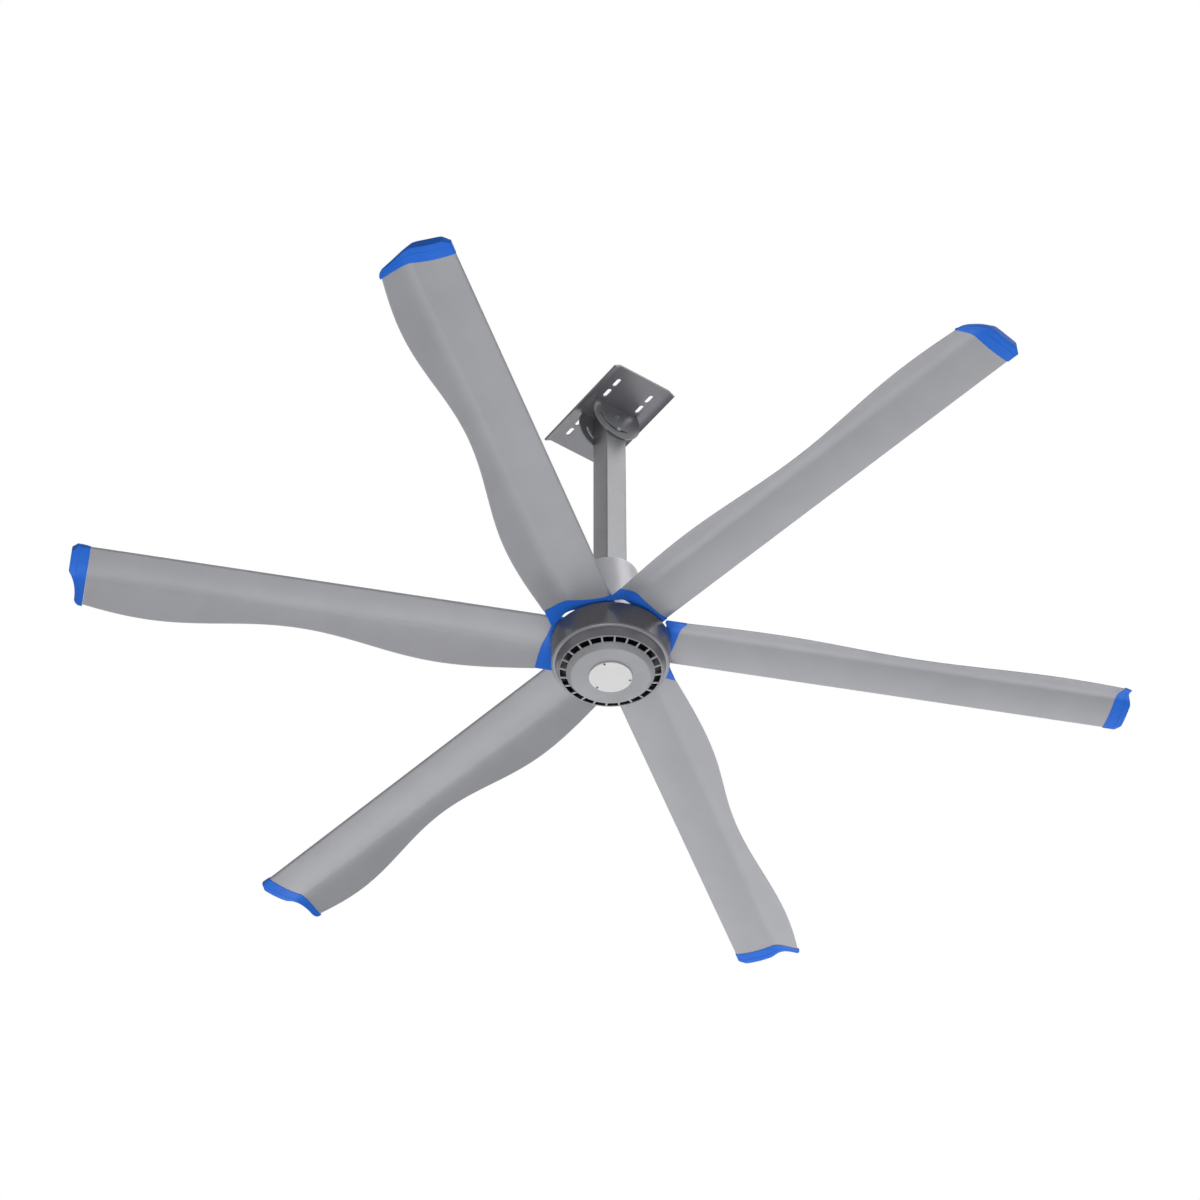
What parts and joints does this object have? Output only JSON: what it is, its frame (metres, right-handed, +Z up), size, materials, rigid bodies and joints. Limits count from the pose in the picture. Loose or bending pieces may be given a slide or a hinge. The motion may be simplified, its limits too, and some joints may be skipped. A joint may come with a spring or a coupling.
{
  "type": "high volume low speed ceiling fan",
  "caption": "Large ceiling fan on a square drop tube with a tilting yoke bracket, a round drum motor with a vented cover, and long hollow blades with wavy trailing edges.",
  "frame": {"origin": "centre of the ceiling plate's top face, which is the face that lies against the ceiling", "axes": "+Z points up out of the ceiling plate, along the drop tube and the rotor's axis; +X runs along the ceiling plate's long side, which is the tilt axis of the yoke; +Y is square to both"},
  "size_m": [2.9878, 2.7906, 1.0658],
  "materials": {
    "bracket_paint": "satin charcoal paint",
    "zinc": "zinc-plated steel",
    "washer_steel": "plated steel",
    "tube_paint": "smooth grey paint",
    "shaft_steel": "machined steel",
    "cover_paint": "smooth grey paint",
    "drum_paint": "semi-gloss dark grey paint",
    "lamination": "stacked electrical steel",
    "copper": "enamelled copper wire",
    "magnet": "nickel-plated magnet",
    "bearing_steel": "ground bearing steel",
    "disc_paint": "satin light grey paint",
    "badge_white": "bare white disc",
    "hub_aluminium": "machined aluminium",
    "blade_aluminium": "satin anodised aluminium",
    "blue_plastic": "moulded blue plastic"
  },
  "bodies": {
    "bracket": {"ceiling_plate": "bracket_paint", "yoke_ears": "bracket_paint", "pivot_bolt": "zinc", "pivot_nut": "zinc", "pivot_washers": "washer_steel"},
    "mast": {"drop_tube": "tube_paint", "pivot_sleeve": "washer_steel", "lock_bolt": "zinc", "lock_nut": "zinc", "lock_washers": "washer_steel", "foot_flange": "tube_paint", "foot_bolts": "zinc", "stator_shaft": "shaft_steel", "canopy_collar": "cover_paint", "canopy_cover": "cover_paint", "canopy_screws": "zinc", "bearing_spacer": "shaft_steel", "stator_carrier": "hub_aluminium", "stator_core": "lamination", "stator_windings": "copper", "upper_bearing_inner": "bearing_steel", "lower_bearing_inner": "bearing_steel", "shaft_nut": "shaft_steel"},
    "rotor": {"rotor_drum": "drum_paint", "back_iron": "lamination", "rotor_magnets": "magnet", "upper_bearing_outer": "bearing_steel", "upper_bearing_balls": "bearing_steel", "lower_bearing_outer": "bearing_steel", "lower_bearing_balls": "bearing_steel", "lower_end_plate": "drum_paint", "end_plate_screws": "zinc", "vent_cover": "disc_paint", "cover_standoffs": "zinc", "badge_disc": "badge_white", "badge_screws": "zinc", "hub_plate": "hub_aluminium", "hub_screws": "zinc", "arm_bolts": "zinc", "blade_bolts": "zinc", "blade_arms": "shaft_steel", "blade_1": "blade_aluminium", "root_cap_1": "blue_plastic", "tip_cap_1": "blue_plastic", "blade_2": "blade_aluminium", "root_cap_2": "blue_plastic", "tip_cap_2": "blue_plastic", "blade_3": "blade_aluminium", "root_cap_3": "blue_plastic", "tip_cap_3": "blue_plastic", "blade_4": "blade_aluminium", "root_cap_4": "blue_plastic", "tip_cap_4": "blue_plastic", "blade_5": "blade_aluminium", "root_cap_5": "blue_plastic", "tip_cap_5": "blue_plastic", "blade_6": "blade_aluminium", "root_cap_6": "blue_plastic", "tip_cap_6": "blue_plastic"}
  },
  "joints": [
    {"name": "bracket_tilt", "type": "hinge", "parent": "bracket", "child": "mast", "pos_m": [0, 0, -0.046], "axis": [1, 0, 0], "range_deg": [-75, 35]},
    {"name": "rotor_spin", "type": "hinge", "parent": "mast", "child": "rotor", "pos_m": [0, 0, -0.975], "axis": [0, 0, 1], "continuous": true}
  ]
}
